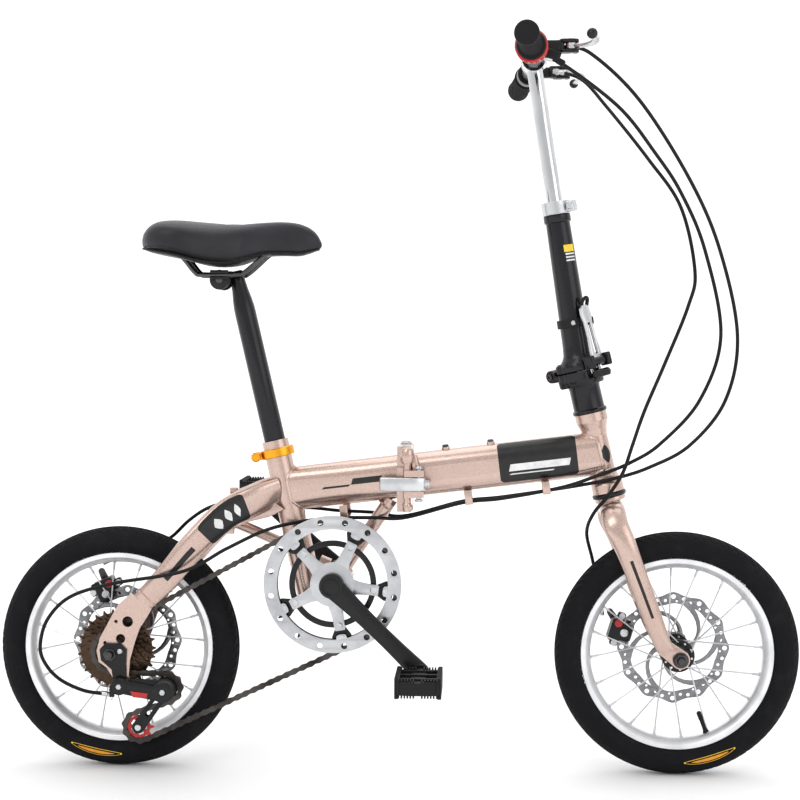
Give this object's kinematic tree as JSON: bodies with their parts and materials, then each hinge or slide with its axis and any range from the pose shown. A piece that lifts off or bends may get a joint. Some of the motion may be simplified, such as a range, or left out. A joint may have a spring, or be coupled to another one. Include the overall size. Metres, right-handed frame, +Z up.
{
  "type": "folding bicycle",
  "caption": "Compact folding bicycle with small wheels, a hinged main tube, a folding stem, a derailleur, disc brakes and a telescoping seat post.",
  "frame": {"origin": "on the ground, midway between the two wheels, in the plane of the wheels", "axes": "+X forward, +Y to the rider's left, +Z up"},
  "size_m": [1.135, 0.5066, 1.0214],
  "materials": {
    "frame_paint": "satin metallic",
    "gold_anodised": "anodised satin",
    "steel": "zinc plated",
    "black_metal": "satin black",
    "black_alloy": "satin black coat",
    "rail_steel": "dark plated",
    "chain_steel": "oiled dark steel",
    "silver_alloy": "satin",
    "chrome": "polished",
    "grip_rubber": "matt",
    "red_plastic": "gloss",
    "tyre_rubber": "matt",
    "rim_alloy": "satin",
    "spoke_steel": "bright",
    "disc_steel": "ground",
    "black_plastic": "satin",
    "saddle_vinyl": "smooth vinyl",
    "cable_housing": "satin sleeve"
  },
  "bodies": {
    "rear_frame": {"rear_main_tube": "frame_paint", "seat_tube": "frame_paint", "bb_shell": "frame_paint", "stay_right": "frame_paint", "stay_left": "frame_paint", "dropout_right": "frame_paint", "dropout_left": "frame_paint", "hinge_rear": "frame_paint", "seat_collar": "gold_anodised", "rear_axle": "steel", "rear_caliper": "black_alloy", "derailleur": "black_metal", "chain": "chain_steel"},
    "front_frame": {"front_main_tube": "frame_paint", "head_tube": "frame_paint", "hinge_front": "frame_paint", "rear_brake_cable": "cable_housing", "shift_cable": "cable_housing"},
    "frame_latch": {"frame_latch_lever": "silver_alloy"},
    "fork": {"fork_crown": "frame_paint", "fork_leg_right": "frame_paint", "fork_leg_left": "frame_paint", "front_axle": "steel", "stem_base": "black_alloy", "front_caliper": "black_alloy", "front_brake_cable": "cable_housing"},
    "stem_upper": {"stem_tube": "black_alloy", "stem_collar": "silver_alloy"},
    "stem_latch": {"stem_latch_lever": "silver_alloy"},
    "mast": {"mast_tube": "chrome", "handlebar": "black_alloy", "grips": "grip_rubber", "brake_perches": "black_alloy"},
    "lever_right": {"brake_lever_right": "silver_alloy"},
    "lever_left": {"brake_lever_left": "silver_alloy"},
    "shifter": {"shifter_ring": "red_plastic"},
    "front_wheel": {"front_tyre": "tyre_rubber", "front_rim": "rim_alloy", "front_spokes": "spoke_steel", "front_hub": "black_alloy", "front_rotor": "disc_steel"},
    "rear_wheel": {"rear_tyre": "tyre_rubber", "rear_rim": "rim_alloy", "rear_spokes": "spoke_steel", "rear_hub": "black_alloy", "rear_rotor": "disc_steel"},
    "freewheel_cluster": {"freewheel": "chain_steel"},
    "crankset": {"crank_right": "black_alloy", "crank_left": "black_alloy", "chainring": "black_metal", "chainguard": "silver_alloy"},
    "pedal_right_body": {"pedal_right": "black_plastic"},
    "pedal_left_body": {"pedal_left": "black_plastic"},
    "seat": {"seat_post": "black_metal", "saddle": "saddle_vinyl", "saddle_rails": "rail_steel"},
    "upper_pulley_body": {"upper_pulley": "red_plastic"},
    "lower_pulley_body": {"lower_pulley": "red_plastic"},
    "front_arm": {"front_caliper_arm": "steel"},
    "rear_arm": {"rear_caliper_arm": "steel"}
  },
  "joints": [
    {"name": "frame_fold", "type": "hinge", "parent": "rear_frame", "child": "front_frame", "pos_m": [0.0115, 0.038, 0.416], "axis": [0, 0, 1], "range_deg": [0, 135], "deforming": ["rear_brake_cable", "shift_cable"]},
    {"name": "frame_latch_swing", "type": "hinge", "parent": "front_frame", "child": "frame_latch", "pos_m": [0.033, -0.044, 0.411], "axis": [0, 0, 1], "range_deg": [0, 110]},
    {"name": "steering", "type": "hinge", "parent": "front_frame", "child": "fork", "pos_m": [0.2857, 0, 0.4543], "axis": [0.2334, 0, -0.9724], "range_deg": [-90, 90], "deforming": ["front_brake_cable"]},
    {"name": "stem_fold", "type": "hinge", "parent": "fork", "child": "stem_upper", "pos_m": [0.23287, 0.026, 0.56297], "axis": [-0.6876, -0.7071, -0.1651], "range_deg": [0, 160]},
    {"name": "stem_latch_swing", "type": "hinge", "parent": "stem_upper", "child": "stem_latch", "pos_m": [0.28028, -0.02491, 0.58361], "axis": [0.6876, 0.7071, 0.1651], "range_deg": [0, 75]},
    {"name": "mast_height", "type": "slide", "parent": "stem_upper", "child": "mast", "axis": [-0.1582, 0, 0.9874], "range_m": [-0.14, 0]},
    {"name": "brake_lever_right_pull", "type": "hinge", "parent": "mast", "child": "lever_right", "pos_m": [0.236, -0.112, 1.003], "axis": [0, 0, -1], "range_deg": [0, 20], "stiffness_Nm_per_rad": 2.5, "springref_deg": -20.05},
    {"name": "brake_lever_left_pull", "type": "hinge", "parent": "mast", "child": "lever_left", "pos_m": [0.236, 0.112, 1.003], "axis": [0, 0, 1], "range_deg": [0, 20], "stiffness_Nm_per_rad": 2.5, "springref_deg": -20.05},
    {"name": "shifter_twist", "type": "hinge", "parent": "mast", "child": "shifter", "pos_m": [0.18265, -0.135, 0.99924], "axis": [0.083, 0.9963, 0.0208], "range_deg": [-100, 0]},
    {"name": "front_wheel_spin", "type": "hinge", "parent": "fork", "child": "front_wheel", "pos_m": [0.396, 0, 0.1715], "axis": [0, 1, 0], "continuous": true},
    {"name": "rear_wheel_spin", "type": "hinge", "parent": "rear_frame", "child": "rear_wheel", "pos_m": [-0.396, 0, 0.1715], "axis": [0, 1, 0], "continuous": true},
    {"name": "crank_spin", "type": "hinge", "parent": "rear_frame", "child": "crankset", "pos_m": [-0.0862, 0, 0.2712], "axis": [0, 1, 0], "continuous": true},
    {"name": "freewheel_spin", "type": "hinge", "parent": "rear_frame", "child": "freewheel_cluster", "pos_m": [-0.396, 0, 0.1715], "axis": [0, 1, 0], "continuous": true},
    {"name": "pedal_right_spin", "type": "hinge", "parent": "crankset", "child": "pedal_right_body", "pos_m": [0.03813, -0.15, 0.15526], "axis": [0, 1, 0], "continuous": true},
    {"name": "pedal_left_spin", "type": "hinge", "parent": "crankset", "child": "pedal_left_body", "pos_m": [-0.21053, 0.15, 0.38714], "axis": [0, 1, 0], "continuous": true},
    {"name": "seat_height", "type": "slide", "parent": "rear_frame", "child": "seat", "axis": [-0.2275, 0, 0.9738], "range_m": [-0.1, 0.03]},
    {"name": "upper_pulley_spin", "type": "hinge", "parent": "rear_frame", "child": "upper_pulley_body", "pos_m": [-0.321, -0.05, 0.121], "axis": [0, 1, 0], "continuous": true},
    {"name": "lower_pulley_spin", "type": "hinge", "parent": "rear_frame", "child": "lower_pulley_body", "pos_m": [-0.3595, -0.05, 0.0663], "axis": [0, 1, 0], "continuous": true},
    {"name": "front_arm_pull", "type": "hinge", "parent": "fork", "child": "front_arm", "pos_m": [0.32332, 0, 0.19372], "axis": [0, 1, 0], "range_deg": [-30, 30]},
    {"name": "rear_arm_pull", "type": "hinge", "parent": "rear_frame", "child": "rear_arm", "pos_m": [-0.42691, 0, 0.24093], "axis": [0, 1, 0], "range_deg": [-30, 30]}
  ],
  "couplings": [
    {"joint": "freewheel_spin", "follows": "crank_spin", "ratio": 3.1429},
    {"joint": "upper_pulley_spin", "follows": "crank_spin", "ratio": -4.4},
    {"joint": "lower_pulley_spin", "follows": "crank_spin", "ratio": 4.4},
    {"joint": "front_arm_pull", "follows": "brake_lever_left_pull", "ratio": 1.25},
    {"joint": "rear_arm_pull", "follows": "brake_lever_right_pull", "ratio": 1.25}
  ]
}
